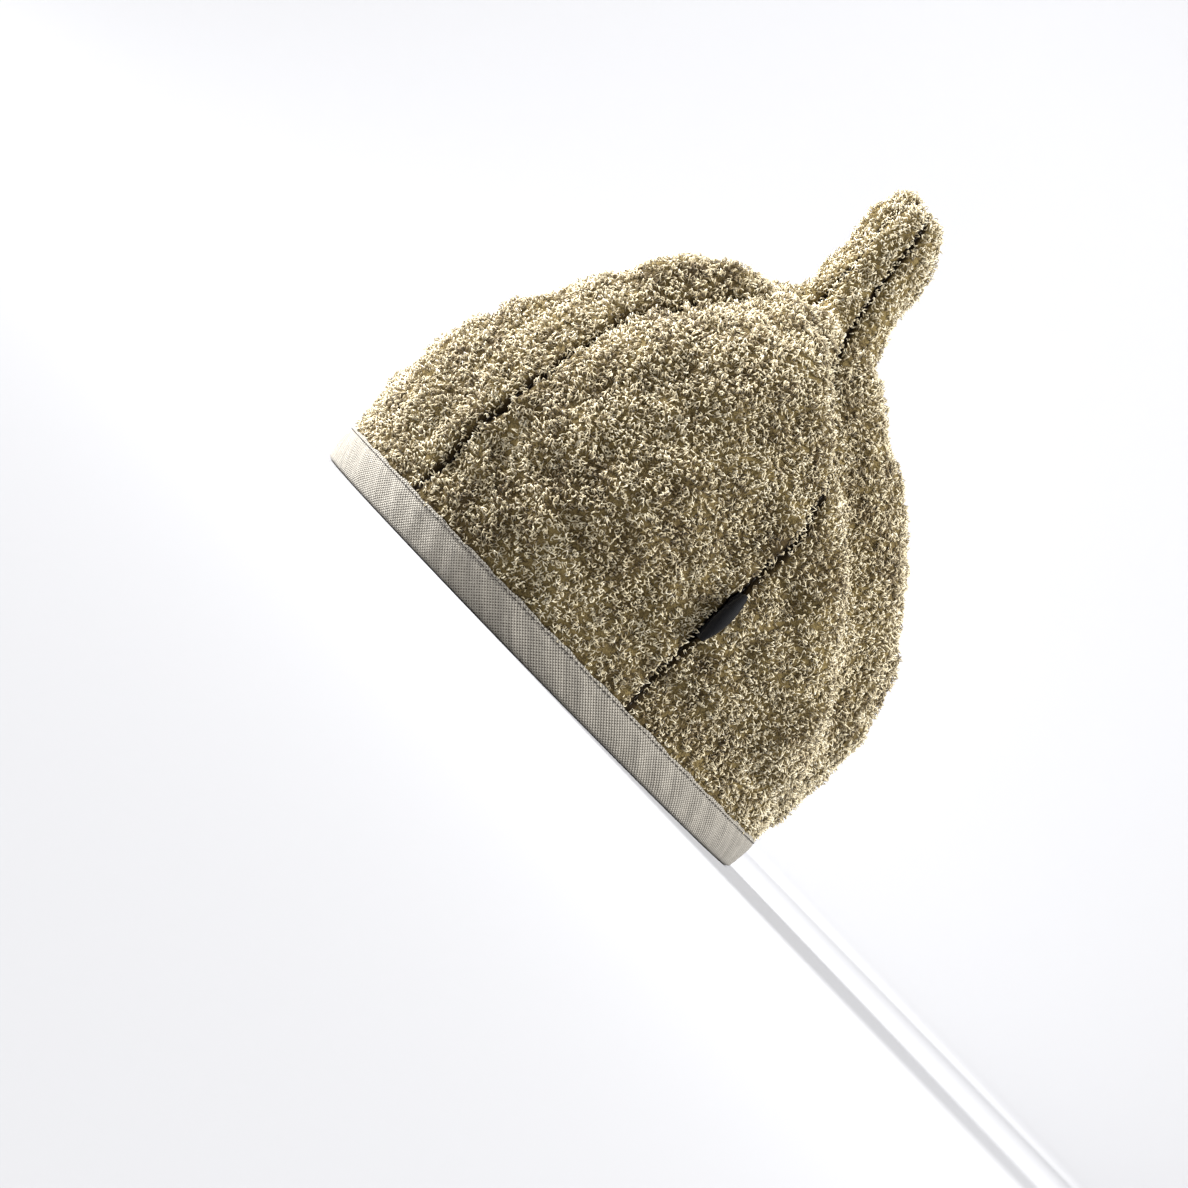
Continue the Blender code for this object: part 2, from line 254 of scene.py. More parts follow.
# The lights: azimuth and elevation seen from the hat, in degrees, distance and size
Softbox = namedtuple("Softbox", "name azimuth elevation distance size")
FRONT_SOFTBOX = Softbox("front_softbox", -33.0, 22.0, 1.5, 0.6)
BACK_SOFTBOX = Softbox("back_softbox", 138.0, 42.0, 1.5, 0.5)
TOP_SOFTBOX = Softbox("top_softbox", 115.0, 68.0, 1.8, 0.8)
LIT_HEIGHT = 0.08
WASH_AZIMUTH = 258.0
WASH_DISTANCE = 0.7
WASH_HEIGHT = 1.2
WASH_SIZE = 1.6

# The floor: how far it is level, the bend up to the wall, and the wall's top
FLOOR_REACH = 1.6
BEND_RADIUS = 1.1
WALL_TOP = 3.2
FLOOR_DROP = 0.0002

# The picture is printed darker by this many stops, and flatter
EXPOSURE = -0.3
GAMMA = 1.08

# The camera stands as the picture's did, but above the floor
IMAGE_SIZE = 1188
SENSOR = 0.036
CAMERA_LENS = 0.0727
CAMERA_DISTANCE = 0.876
RIM_CENTRE_AT = (531, 664)


# The crown as one surface


def profile_rows():
    """The sections as one array: height, shift, half length, half width and seam sink."""
    rows = [
        (
            row.height * CROWN_HEIGHT,
            row.shift * RIM_LENGTH,
            row.length * RIM_LENGTH / 2,
            row.width * RIM_WIDTH / 2,
            row.sink * SEAM_SINK,
        )
        for row in CROWN_SECTIONS
    ]
    foot_shift = CROWN_SECTIONS[-1].shift * RIM_LENGTH
    for row in STEM_SECTIONS:
        radius = (row.foot * STEM_FOOT + row.tip * STEM_TIP) / 2
        shift = foot_shift - row.height * STEM_LEAN
        height = CROWN_HEIGHT + row.height * STEM_LENGTH
        rows.append((height, shift, radius, radius, row.sink * SEAM_SINK))
    return np.array(rows)


def smooth_curve(rows, steps):
    """A Catmull-Rom curve through the rows, with end tangents taken from the end spans."""
    tangents = np.gradient(rows, axis=0)
    at = np.linspace(0, len(rows) - 1, steps)
    span = np.minimum(at.astype(int), len(rows) - 2)
    u = (at - span)[:, None]
    start, end = rows[span], rows[span + 1]
    return (
        start * (2 * u**3 - 3 * u**2 + 1)
        + end * (3 * u**2 - 2 * u**3)
        + tangents[span] * (u**3 - 2 * u**2 + u)
        + tangents[span + 1] * (u**3 - u**2)
    )


SEAMS = smooth_curve(np.array(SEAM_ROWS), PROFILE_STEPS)
PROFILE = smooth_curve(profile_rows(), PROFILE_STEPS)
PROFILE_STEP = np.hypot(np.diff(PROFILE[:, 0]), np.diff(PROFILE[:, 2] + PROFILE[:, 3]) / 2)
PROFILE_AT = np.concatenate([[0.0], np.cumsum(PROFILE_STEP)])
PROFILE_SLOPE = np.gradient(PROFILE, PROFILE_AT, axis=0)
PROFILE_END = PROFILE_AT[-1]


def profile(at):
    """Height, shift, half length, half width and seam sink, at a length along the profile."""
    return [np.interp(at, PROFILE_AT, column) for column in PROFILE.T]


def profile_slope(at):
    """How those change with the length along the profile."""
    return [np.interp(at, PROFILE_AT, column) for column in PROFILE_SLOPE.T]


def length_at(height):
    """The length along the profile at a height."""
    return np.interp(height, PROFILE[:, 0], PROFILE_AT)


def seam_azimuth(seam, at):
    """Azimuth of a seam of the left side, or its mirror image on the right."""
    name, side = seam
    share = profile(at)[0] / CROWN_HEIGHT
    return side * np.interp(share, SEAMS[:, 0], SEAMS[:, SeamRow._fields.index(name)])


def gore_azimuth(gore, at, across):
    """Azimuth at a share of the way across a gore."""
    first, last = seam_azimuth(gore.first, at), seam_azimuth(gore.last, at)
    last = np.where(last < first, last + 360, last)
    return first + (last - first) * across


def gore_width(gore, at):
    """A gore's width round the crown: its angle times the mean radius there."""
    _, _, half_length, half_width, _ = profile(at)
    angle = gore_azimuth(gore, at, 1.0) - gore_azimuth(gore, at, 0.0)
    return np.radians(angle) * (half_length + half_width) / 2


def smooth_step(value, low, high):
    """0 below low, 1 above high, and smooth between."""
    u = np.clip((value - low) / (high - low), 0, 1)
    return u * u * (3 - 2 * u)


def fold_relief(azimuth, height):
    """How far the folds push the cloth in: a sum of bell curves round each fold's line."""
    share = height / CROWN_HEIGHT
    relief = np.zeros(np.broadcast(azimuth, share).shape)
    for fold in FOLDS:
        centre = fold.azimuth + fold.slant * (share - fold.height)
        around = (azimuth - centre + 180) % 360 - 180
        reach = np.where(around < 0, fold.before, fold.after)
        along = (share - fold.height) / fold.reach
        relief += fold.depth * np.exp(-((around / reach) ** 2) - along**2)
    calm = smooth_step(share, 0.04, 0.20) * (1 - smooth_step(share, 0.90, 1.0))
    return FOLD_DEPTH * relief * calm


def in_band(height):
    """1 where the binding covers the cloth, 0 where it has its full thickness."""
    top = BAND_HEIGHT + CLEARANCE
    return 1 - smooth_step(height, top, top + BAND_EASE)


def wander(points, wave, seed):
    """A smooth random field about -1 to 1: plane waves of that length in many directions."""
    random = np.random.default_rng(seed)
    ways = random.normal(size=(9, 3))
    ways /= np.linalg.norm(ways, axis=1, keepdims=True)
    lengths = wave * random.uniform(0.7, 1.5, 9)
    phases = random.uniform(0, 2 * math.pi, 9)
    turns = points @ (ways * (2 * math.pi / lengths)[:, None]).T + phases
    return np.sin(turns).sum(axis=-1) / 3


def seam_distance(gore, at, across):
    """How far round the crown the nearer seam is."""
    return np.minimum(across, 1 - across) * gore_width(gore, at)


def fine_relief(gore, at, across, height):
    """The crease along each seam, a bell curve of the way off it and shallower on the stem,
    and the puckers that run into it, a straying sine along it, in metres inwards."""
    away = seam_distance(gore, at, across)
    broad = smooth_step(gore_width(gore, at), STEM_GORE, CROWN_GORE)
    crease = CREASE_DEPTH * (STEM_CREASE + (1 - STEM_CREASE) * broad)
    crease = crease * np.exp(-((away / CREASE_REACH) ** 2))
    stray = PUCKER_STRAY * np.sin(PUCKER_DRIFT * at) + PUCKER_SIDES * np.sign(across - 0.5)
    pucker = PUCKER_HEIGHT * np.sin(2 * math.pi * at / PUCKER_LENGTH + stray)
    pucker = pucker * np.exp(-((away / PUCKER_REACH) ** 2))
    calm = smooth_step(height, BAND_HEIGHT, BAND_HEIGHT + RELIEF_EASE)
    return (crease + pucker * broad) * calm


def crown_point(gore, at, across, depth, fine=1.0):
    """A point of a gore, depth under the top of its pile: an ellipse whose half axes follow
    the profile, pushed along its normal by seam sink, folds and a share of the fine relief."""
    height, shift, half_length, half_width, sink = profile(at)
    rise, push, lengthen, widen, _ = profile_slope(at)
    azimuth = gore_azimuth(gore, at, across)
    sin, cos = np.sin(np.radians(azimuth)), np.cos(np.radians(azimuth))
    flat = 0 * sin
    point = np.stack([half_width * sin, shift - half_length * cos, height + flat], -1)
    around = np.stack([half_width * cos, half_length * sin, flat], -1)
    upward = np.stack([widen * sin, push - lengthen * cos, rise + flat], -1)
    out = np.cross(around, upward)
    out[..., 2] *= 1 - in_band(height)
    out /= np.linalg.norm(out, axis=-1, keepdims=True)
    inward = depth + sink * (2 * across - 1) ** 2 + fold_relief(azimuth, height)
    if fine:
        half_waves = wander(point, SOFT_WAVE / 2, SOFT_SEED + 1) / 2
        soft = SOFTNESS * (wander(point, SOFT_WAVE, SOFT_SEED) + half_waves)
        soft = soft * smooth_step(height, BAND_HEIGHT, 2 * BAND_HEIGHT)
        inward += fine * (fine_relief(gore, at, across, height) + soft)
    return point - out * inward[..., None]


def crown_frame(gore, at, across, depth):
    """A point of a gore with its three directions: round, up and out, by small steps."""
    step = 0.0006
    low = np.minimum(at, PROFILE_END - 2 * step)
    share = step / np.maximum(gore_width(gore, at), 4 * step)
    left = np.minimum(across, 1 - share)
    here = crown_point(gore, low, left, depth)
    up = crown_point(gore, low + step, left, depth) - here
    round_ = crown_point(gore, low, left + share, depth) - here
    out = np.cross(round_, up)
    out /= np.linalg.norm(out, axis=-1, keepdims=True)
    round_ /= np.linalg.norm(round_, axis=-1, keepdims=True)
    return crown_point(gore, at, across, depth), round_, np.cross(out, round_), out


def hat_place():
    """Where the frame holds the rim's centre, from the binding's box. The box has to be the
    size that the form above gives, or the frame is another one."""
    low, high = (np.array(corner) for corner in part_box("rim_binding"))
    at = length_at(np.linspace(0, BAND_HEIGHT, 9))[:, None]
    share = np.linspace(0, 1, 60)[None, :]
    ring = np.array([crown_point(gore, at, share, BAND_INSET, 0.0) for gore in GORES])
    size = np.ptp(ring.reshape(-1, 3), axis=0)
    if np.abs(high - low - size)[:2].max() > SIZE_EASE:
        raise RuntimeError("the form is not the one in the frame")
    middle = (low + high) / 2
    return np.array([middle[0], middle[1], 0.0])


HAT_AT = hat_place()
RIM_RUN = np.concatenate([[0.0], np.cumsum([float(gore_width(gore, 0.0)) for gore in GORES])])


def tab_slot(seam, height):
    """How far a gore's edge stands back from its seam to leave room for the tab's root."""
    if seam != GORES[1].last:
        return 0 * height
    past = np.abs(height - TAB_HEIGHT) - TAB_LENGTH / 2
    return (TAB_SLIT / 2 + TAB_PLY + CLEARANCE) * (1 - smooth_step(past, 0, CLOTH_STEP))


# Meshes from whole arrays


def grid_faces(rows, columns, wrap_rows=False, wrap_columns=False):
    """Corner numbers of a grid's quads; a wrapped side joins its last line to its first."""
    row = np.arange(rows if wrap_rows else rows - 1)[:, None]
    column = np.arange(columns if wrap_columns else columns - 1)[None, :]
    next_row, next_column = (row + 1) % rows, (column + 1) % columns
    corners = (
        row * columns + column,
        row * columns + next_column,
        next_row * columns + next_column,
        next_row * columns + column,
    )
    return np.stack(corners, -1).reshape(-1, 4)


def shell_faces(rows, columns):
    """Quads of a closed shell made of rings: its sides, and a cap at each end that joins the
    ring's first half to its second, point to point."""
    column = np.arange(columns // 2 - 1)
    cap = np.stack([column, columns - 1 - column, columns - 2 - column, column + 1], -1)
    far = cap[:, ::-1] + (rows - 1) * columns
    return np.concatenate([grid_faces(rows, columns, wrap_columns=True), cap, far])


def join_parts(parts):
    """Points, faces and tints of several parts as one, their corners renumbered."""
    points, faces, tints = zip(*parts)
    starts = np.cumsum([0] + [len(part) for part in points])
    faces = [corners + start for corners, start in zip(faces, starts)]
    return np.concatenate(points), np.concatenate(faces), np.concatenate(tints)


def new_mesh(name, points, faces, uv=None, tint=None, second=None):
    """A smooth mesh from arrays of points and equal faces, with a map and a tint a point,
    and the faces that take the second material."""
    mesh = bpy.data.meshes.new(name)
    sides = faces.shape[1]
    mesh.vertices.add(len(points))
    mesh.vertices.foreach_set("co", (points + HAT_AT).astype(np.float32).ravel())
    mesh.loops.add(faces.size)
    mesh.loops.foreach_set("vertex_index", faces.astype(np.int32).ravel())
    mesh.polygons.add(len(faces))
    mesh.polygons.foreach_set("loop_start", np.arange(0, faces.size, sides, dtype=np.int32))
    mesh.polygons.foreach_set("loop_total", np.full(len(faces), sides, dtype=np.int32))
    mesh.update(calc_edges=True)
    mesh.shade_smooth()
    if uv is not None:
        layer = mesh.uv_layers.new(name="cloth")
        layer.data.foreach_set("uv", uv[faces.ravel()].astype(np.float32).ravel())
    if tint is not None:
        layer = mesh.attributes.new("tint", "FLOAT", "POINT")
        layer.data.foreach_set("value", tint.astype(np.float32))
    if second is not None:
        mesh.polygons.foreach_set("material_index", second.astype(np.int32))
    if mesh.validate(verbose=False):
        raise RuntimeError(f"{name} had faulty faces")
    return mesh


def new_piece(name, mesh, material, slot, *nodes):
    """Links a mesh as a piece of the hat that stands for CAD nodes."""
    mesh.materials.append(material)
    piece = bpy.data.objects.new(name, mesh)
    bpy.context.scene.collection.objects.link(piece)
    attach(piece, "root")
    if nodes:
        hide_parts(*nodes)
    return piece


def yarn_arches(root, along, lean, side, span, rise, radius, tint, share=ARCH_SHARES):
    """Short arches of yarn, all at once. Each one's centre line runs from one foot to the
    other as a cosine along and rises as a power of a sine along its lean; three lines of
    points go round it, and both feet close to a point inside the ground. The tint falls
    towards the feet as painted shade, where the yarn lies in the others' shade."""
    share = np.array(share)
    run = -np.cos(math.pi * share)[None, :, None] * span[:, None, None] / 2
    lift = np.sin(math.pi * share)[None, :, None] ** ARCH_POWER * rise[:, None, None]
    line = root[:, None] + along[:, None] * run + lean[:, None] * lift
    heading = np.gradient(line, axis=1)
    heading /= np.linalg.norm(heading, axis=-1, keepdims=True)
    across = np.cross(heading, side[:, None])
    turn = 2 * math.pi * np.arange(3) / 3
    cos, sin = np.cos(turn)[None, None, :, None], np.sin(turn)[None, None, :, None]
    ring = side[:, None, None] * cos + across[:, :, None] * sin
    rings = line[:, 1:-1, None] + ring[:, 1:-1] * radius[:, None, None, None]
    points = np.concatenate([line[:, :1], rings.reshape(len(root), -1, 3), line[:, -1:]], axis=1)
    last = points.shape[1] - 1
    step = np.arange(3)
    after = (step + 1) % 3
    caps = [np.stack([0 * step, 1 + after, 1 + step], -1)]
    for low in range(1, last - 3, 3):
        a, b, c, d = low + step, low + after, low + 3 + after, low + 3 + step
        caps += [np.stack([a, b, c], -1), np.stack([a, c, d], -1)]
    caps.append(np.stack([last - 3 + step, last - 3 + after, 0 * step + last], -1))
    one = np.concatenate(caps)
    count = points.shape[1]
    faces = (one[None] + (np.arange(len(root)) * count)[:, None, None]).reshape(-1, 3)
    # Painted shade, falling from the arch's top to its feet
    lit = np.sin(math.pi * share) ** FOOT_PAINTED_SHADE
    lit = np.concatenate([lit[:1], np.repeat(lit[1:-1], 3), lit[-1:]])
    return points.reshape(-1, 3), faces, (tint[:, None] * lit).ravel()


# Materials


def linear(hex_colour):
    """An sRGB hex colour as linear red, green, blue and alpha."""
    digits = hex_colour.lstrip("#")
    srgb = [int(digits[i:i + 2], 16) / 255 for i in (0, 2, 4)]
    return [v / 12.92 if v <= 0.04045 else ((v + 0.055) / 1.055) ** 2.4 for v in srgb] + [1.0]


def add_node(tree, kind, inputs=None, **settings):
    """Adds a node with its settings; an input holds a value or another node's output."""
    node = tree.nodes.new(kind)
    for name, value in settings.items():
        setattr(node, name, value)
    for name, value in (inputs or {}).items():
        if isinstance(value, bpy.types.NodeSocket):
            tree.links.new(value, node.inputs[name])
        else:
            node.inputs[name].default_value = value
    return node


def new_material(name, roughness, sheen, gloss=0.5):
    """An empty woven material and its tree, with what is even all over set on its shader."""
    material = bpy.data.materials.new(name)
    material.use_nodes = True
    shader = material.node_tree.nodes["Principled BSDF"]
    shader.inputs["Metallic"].default_value = 0.0
    shader.inputs["Roughness"].default_value = roughness
    shader.inputs["IOR"].default_value = 1.5
    shader.inputs["Sheen Weight"].default_value = sheen
    shader.inputs["Sheen Roughness"].default_value = 0.5
    shader.inputs["Specular IOR Level"].default_value = gloss
    return material, material.node_tree


def dressed(material, colour, bump=None):
    """The material, with its shader linked to its colour and to its bump if it has one."""
    links, shader = material.node_tree.links, material.node_tree.nodes["Principled BSDF"]
    links.new(colour, shader.inputs["Base Color"])
    if bump:
        links.new(bump.outputs["Normal"], shader.inputs["Normal"])
    return material


def set_ramp(ramp, *stops):
    """Sets a colour ramp's stops from pairs of place and sRGB hex colour; gives its colour."""
    elements = ramp.color_ramp.elements
    while len(elements) < len(stops):
        elements.new(0.5)
    for element, (place, colour) in zip(elements, stops):
        element.position = place
        element.color = linear(colour)
    return ramp.outputs["Color"]


def terry_yarn(settings):
    """Ring-spun cotton loop yarn, dyed sand: matt, with every loop a little paler or darker
    and a soft bloom at grazing angles. The real yarn, about 0.35 mm thick, is too fine to
    show, so the loops are drawn thicker, twice yarn_radius."""
    material, tree = new_material("terry_loop_yarn", 0.8, 0.2, 0.35)
    tint = add_node(tree, "ShaderNodeAttribute", attribute_name="tint")
    # The tint carries painted shade and light: darker feet, a darker under layer, paler tall loops,
    # painted patches and a paler stem
    ramp = add_node(tree, "ShaderNodeValToRGB", {"Fac": tint.outputs["Fac"]})
    low, mid, high = settings.yarn_dark, settings.yarn_mid, settings.yarn_pale
    return dressed(material, set_ramp(ramp, (0.0, low), (0.45, mid), (1.0, high)))


def terry_ground(settings):
    """The knitted ground that the loops stand in: the same cotton, painted warmer and darker as the
    shade between the loops, and darker still as painted shade in its low lumps and in the seams.
    Its lumps, 850 to the metre, lie 1.2 mm apart as the loops' feet."""
    material, tree = new_material("terry_ground_knit", 0.95, 0.0, 0.1)
    place = add_node(tree, "ShaderNodeTexCoord").outputs["Object"]
    lumps = {"Vector": place, "Scale": 850.0, "Detail": 3.0, "Roughness": 0.7, "Distortion": 1.2}
    feet = add_node(tree, "ShaderNodeTexNoise", lumps).outputs["Fac"]
    shade = add_node(tree, "ShaderNodeAttribute", attribute_name="tint").outputs["Fac"]
    lit = add_node(tree, "ShaderNodeMath", {0: feet, 1: shade}, operation="MULTIPLY")
    # Painted shade: low lumps and the seams reach the darkest colours
    ramp = add_node(tree, "ShaderNodeValToRGB", {"Fac": lit.outputs[0]})
    low, mid, high = settings.seam_shade_colour, settings.ground_dark, settings.ground_pale
    bump = add_node(tree, "ShaderNodeBump", {"Height": feet, "Strength": 0.8, "Distance": 0.0008})
    return dressed(material, set_ramp(ramp, (0.0, low), (0.36, mid), (0.6, high)), bump)


def terry_reverse(settings):
    """The terry's reverse, inside the hat: flat knit in upright ribs of small stitches, painted
    warm and a little darker than the pile as shade and warm bounced light, with painted shade
    in the gaps between stitches. Ribs are 1.6 mm apart and rows 1.1 mm, 1.45 times as close.
    Wear makes it paler and darker in patches about 17 mm across."""
    material, tree = new_material("terry_reverse_knit", 0.95, 0.2)
    map_ = add_node(tree, "ShaderNodeUVMap", uv_map="cloth").outputs["UV"]
    split = add_node(tree, "ShaderNodeSeparateXYZ", {"Vector": map_}).outputs
    rows = add_node(tree, "ShaderNodeMath", {0: split["Y"], 1: 1.45}, operation="MULTIPLY")
    knit, _ = plain_weave(tree, split["X"], rows.outputs[0], 0.0016)
    place = add_node(tree, "ShaderNodeTexCoord").outputs["Object"]
    wear = add_node(tree, "ShaderNodeTexNoise", {"Vector": place, "Scale": 60.0, "Detail": 3.0})
    # The knit's low gaps in painted shade, times the wear
    wear_and_gap_shade = {0: knit, 1: wear.outputs["Fac"]}
    mixed = add_node(tree, "ShaderNodeMath", wear_and_gap_shade, operation="MULTIPLY")
    ramp = add_node(tree, "ShaderNodeValToRGB", {"Fac": mixed.outputs[0]})
    colour = set_ramp(ramp, (0.0, settings.reverse_dark), (0.45, settings.reverse_pale))
    bump = add_node(tree, "ShaderNodeBump", {"Height": knit, "Strength": 0.7, "Distance": 0.0006})
    return dressed(material, colour, bump)


def plain_weave(tree, u, v, pitch):
    """Plain weave with threads at that pitch both ways, from the sine of each line: how high
    the threads lie, as the product of both, and the pin-holes between them, as the product
    of what each sine leaves of one."""
    highs, lows = [], []
    for line in (u, v):
        turn = add_node(tree, "ShaderNodeMath", {0: line, 1: math.pi / pitch}, operation="MULTIPLY")
        wave = add_node(tree, "ShaderNodeMath", {0: turn.outputs[0]}, operation="SINE")
        high = add_node(tree, "ShaderNodeMath", {0: wave.outputs[0]}, operation="ABSOLUTE")
        low = add_node(tree, "ShaderNodeMath", {0: 1.0, 1: high.outputs[0]}, operation="SUBTRACT")
        highs.append(high.outputs[0])
        lows.append(low.outputs[0])
    threads, holes = (
        add_node(tree, "ShaderNodeMath", {0: pair[0], 1: pair[1]}, operation="MULTIPLY").outputs[0]
        for pair in (highs, lows)
    )
    return threads, holes


def linen_weave(settings):
    """Undyed linen in plain weave, cut on the bias and pressed: crisp slanting threads with
    pin-holes between them in painted shade, slubs that are long and thin, and a dull bloom. The
    real threads lie 0.6 mm apart, too fine to show, so they are drawn thread_pitch apart."""
    material, tree = new_material("linen_plain_weave", 0.85, 0.12, 0.3)
    map_ = add_node(tree, "ShaderNodeUVMap", uv_map="cloth").outputs["UV"]
    bias = {"Vector": map_, "Rotation": (0, 0, math.radians(42))}
    turned = add_node(tree, "ShaderNodeMapping", bias).outputs["Vector"]
    split = add_node(tree, "ShaderNodeSeparateXYZ", {"Vector": turned}).outputs
    threads, holes = plain_weave(tree, split["X"], split["Y"], settings.thread_pitch)
    long = {"Vector": turned, "Scale": (1.0, 0.07, 1.0)}
    long = add_node(tree, "ShaderNodeMapping", long).outputs["Vector"]
    slub = {"Vector": long, "Scale": 0.6 / settings.thread_pitch, "Detail": 1.0}
    slub = add_node(tree, "ShaderNodeTexNoise", slub).outputs["Fac"]
    wear_and_gap_shade = add_node(tree, "ShaderNodeTexNoise", {"Vector": map_, "Scale": 500.0, "Detail": 2.0})
    # Painted shade in the pin-holes, stronger and weaker at random
    gaps = {0: holes, 1: wear_and_gap_shade.outputs["Fac"]}
    gaps = add_node(tree, "ShaderNodeMath", gaps, operation="MULTIPLY").outputs[0]
    ramp = add_node(tree, "ShaderNodeValToRGB", {"Fac": gaps})
    low, mid, high = settings.linen_pale, settings.linen_mid, settings.linen_dark
    colour = set_ramp(ramp, (0.0, low), (0.07, mid), (0.24, high))
    span = {"Value": slub, "From Min": 0.3, "From Max": 0.7, "To Min": 0.78, "To Max": 1.08}
    shade = add_node(tree, "ShaderNodeMapRange", span).outputs["Result"]
    both = {"Factor": 1.0, "A": colour, "B": shade}
    mix = add_node(tree, "ShaderNodeMix", both, data_type="RGBA", blend_type="MULTIPLY")
    relief = {"Height": threads, "Strength": 0.7, "Distance": 0.0004}
    return dressed(material, mix.outputs["Result"], add_node(tree, "ShaderNodeBump", relief))


def sewing_thread(settings):
    """Spun polyester sewing thread, dark brown: a slight gloss on each stitch, and plies
    0.4 mm apart that show as paler and darker specks."""
    material, tree = new_material("sewing_thread", 0.55, 0.0)
    place = add_node(tree, "ShaderNodeTexCoord").outputs["Object"]
    ply = add_node(tree, "ShaderNodeTexNoise", {"Vector": place, "Scale": 2500.0})
    ramp = add_node(tree, "ShaderNodeValToRGB", {"Fac": ply.outputs["Fac"]})
    return dressed(material, set_ramp(ramp, (0.3, "#1d1712"), (0.7, settings.thread_colour)))


def ribbon_weave(settings):
    """Black polyester tape, woven close with fine ribs across it: soft lights along folds.
    The real ribs lie about 0.3 mm apart, too fine to show, so they are drawn 0.5 mm apart."""
    material, tree = new_material("black_woven_tape", 0.7, 0.03, 0.12)
    map_ = add_node(tree, "ShaderNodeUVMap", uv_map="cloth").outputs["UV"]
    split = add_node(tree, "ShaderNodeSeparateXYZ", {"Vector": map_}).outputs
    ribs, _ = plain_weave(tree, split["X"], split["Y"], 0.0005)
    # Painted shade: the tape is darker in the troughs between its ribs
    ramp = add_node(tree, "ShaderNodeValToRGB", {"Fac": ribs})
    colour = set_ramp(ramp, (0.0, "#040405"), (1.0, settings.tape_colour))
    bump = add_node(tree, "ShaderNodeBump", {"Height": ribs, "Strength": 0.5, "Distance": 0.0002})
    return dressed(material, colour, bump)


def pale_paint():
    """Matt paint on the floor and its curved back: a light grey with no gloss, which the
    lights bring up to near white."""
    material, tree = new_material("matt_floor_paint", 0.9, 0.0, 0.0)
    tree.nodes["Principled BSDF"].inputs["Base Color"].default_value = linear("#9c9c9e")
    return material


# What a user may change


def length(name, description, default):
    """A property that holds a length."""
    return bpy.props.FloatProperty(
        name=name, description=description, default=default, unit="LENGTH", precision=5
    )


def power(name, description, default):
    """A property that holds a lamp's power."""
    return bpy.props.FloatProperty(
        name=name, description=description, default=default, unit="POWER"
    )


def number(name, description, default):
    """A property that holds a plain number."""
    return bpy.props.FloatProperty(name=name, description=description, default=default)


def colour(name, description, default):
    """A property that holds an sRGB hex colour."""
    return bpy.props.StringProperty(name=name, description=description, default=default)


class TerrySettings(bpy.types.PropertyGroup):
    """The pile and its ground."""

    pile_density: number("Density", "How dense the loops stand, 1 for the terry's own", 1.0)
    loop_span: length("Loop span", "From foot to foot of a loop", 0.0014)
    loop_rise: length("Loop rise", "From the ground to a loop's top", 0.0029)
    loop_scatter: length("Loop scatter", "How far loops stray from even spots", 0.0004)
    yarn_radius: length("Yarn radius", "Half the loop yarn's thickness", 0.00025)
    yarn_pale: colour("Pale yarn", "The palest loops", "#e8dfc8")
    yarn_mid: colour("Mid yarn", "Most loops", "#d4c6a1")
    # The darkest yarn colour is painted shade, at the loops' feet
    yarn_dark: colour("Dark yarn", "The feet of the loops", "#786644")
    # The ground's colours are painted shade between the loops, darkest in its low lumps and, darker
    # still, in the seams
    ground_pale: colour("Pale ground", "The ground's high spots", "#766640")
    ground_dark: colour("Dark ground", "The ground's low spots", "#3f331e")
    seam_shade_colour: colour("Seam", "The ground in the seams", "#1e1609")
    # The reverse's colours are painted shade and warm bounced light inside the hat, darkest in the
    # gaps between stitches
    reverse_pale: colour("Pale reverse", "The inside's high stitches", "#94763f")
    reverse_dark: colour("Dark reverse", "The inside's gaps", "#4c391b")


class TrimSettings(bpy.types.PropertyGroup):
    """The binding, the stitches and the tab."""

    thread_pitch: length("Thread pitch", "From thread to thread of the linen", 0.0009)
    stitch_pitch: length("Stitch pitch", "From stitch to stitch", 0.0021)
    thread_radius: length("Thread radius", "Half the sewing thread's thickness", 0.00020)
    linen_pale: colour("Pale linen", "The tops of the threads", "#a39d91")
    linen_mid: colour("Mid linen", "The flanks of the threads", "#857e71")
    # The pin-holes' colour is painted shade
    linen_dark: colour("Dark linen", "The pin-holes between threads", "#2e2820")
    thread_colour: colour("Thread", "The sewing thread", "#2f251c")
    tape_colour: colour("Tape", "The tab's tape", "#0b0b0e")


class StageSettings(bpy.types.PropertyGroup):
    """Floor, lights and camera."""

    camera_azimuth: number("Camera azimuth", "Degrees from the front to the left", 70.0)
    camera_elevation: number("Camera elevation", "Degrees above level", -1.0)
    camera_roll: number("Camera roll", "Degrees that the picture is turned", 46.0)
    back_power: power("Back light", "Power of the softbox behind", 52.0)
    front_power: power("Front light", "Power of the softbox in front", 150.0)
    top_power: power("Top light", "Power of the softbox above", 12.0)
    wall_power: power("Wall light", "Power of the lamp on the wall", 118.0)
    room_light: number("Room light", "Strength of the even light", 0.11)


# Pieces


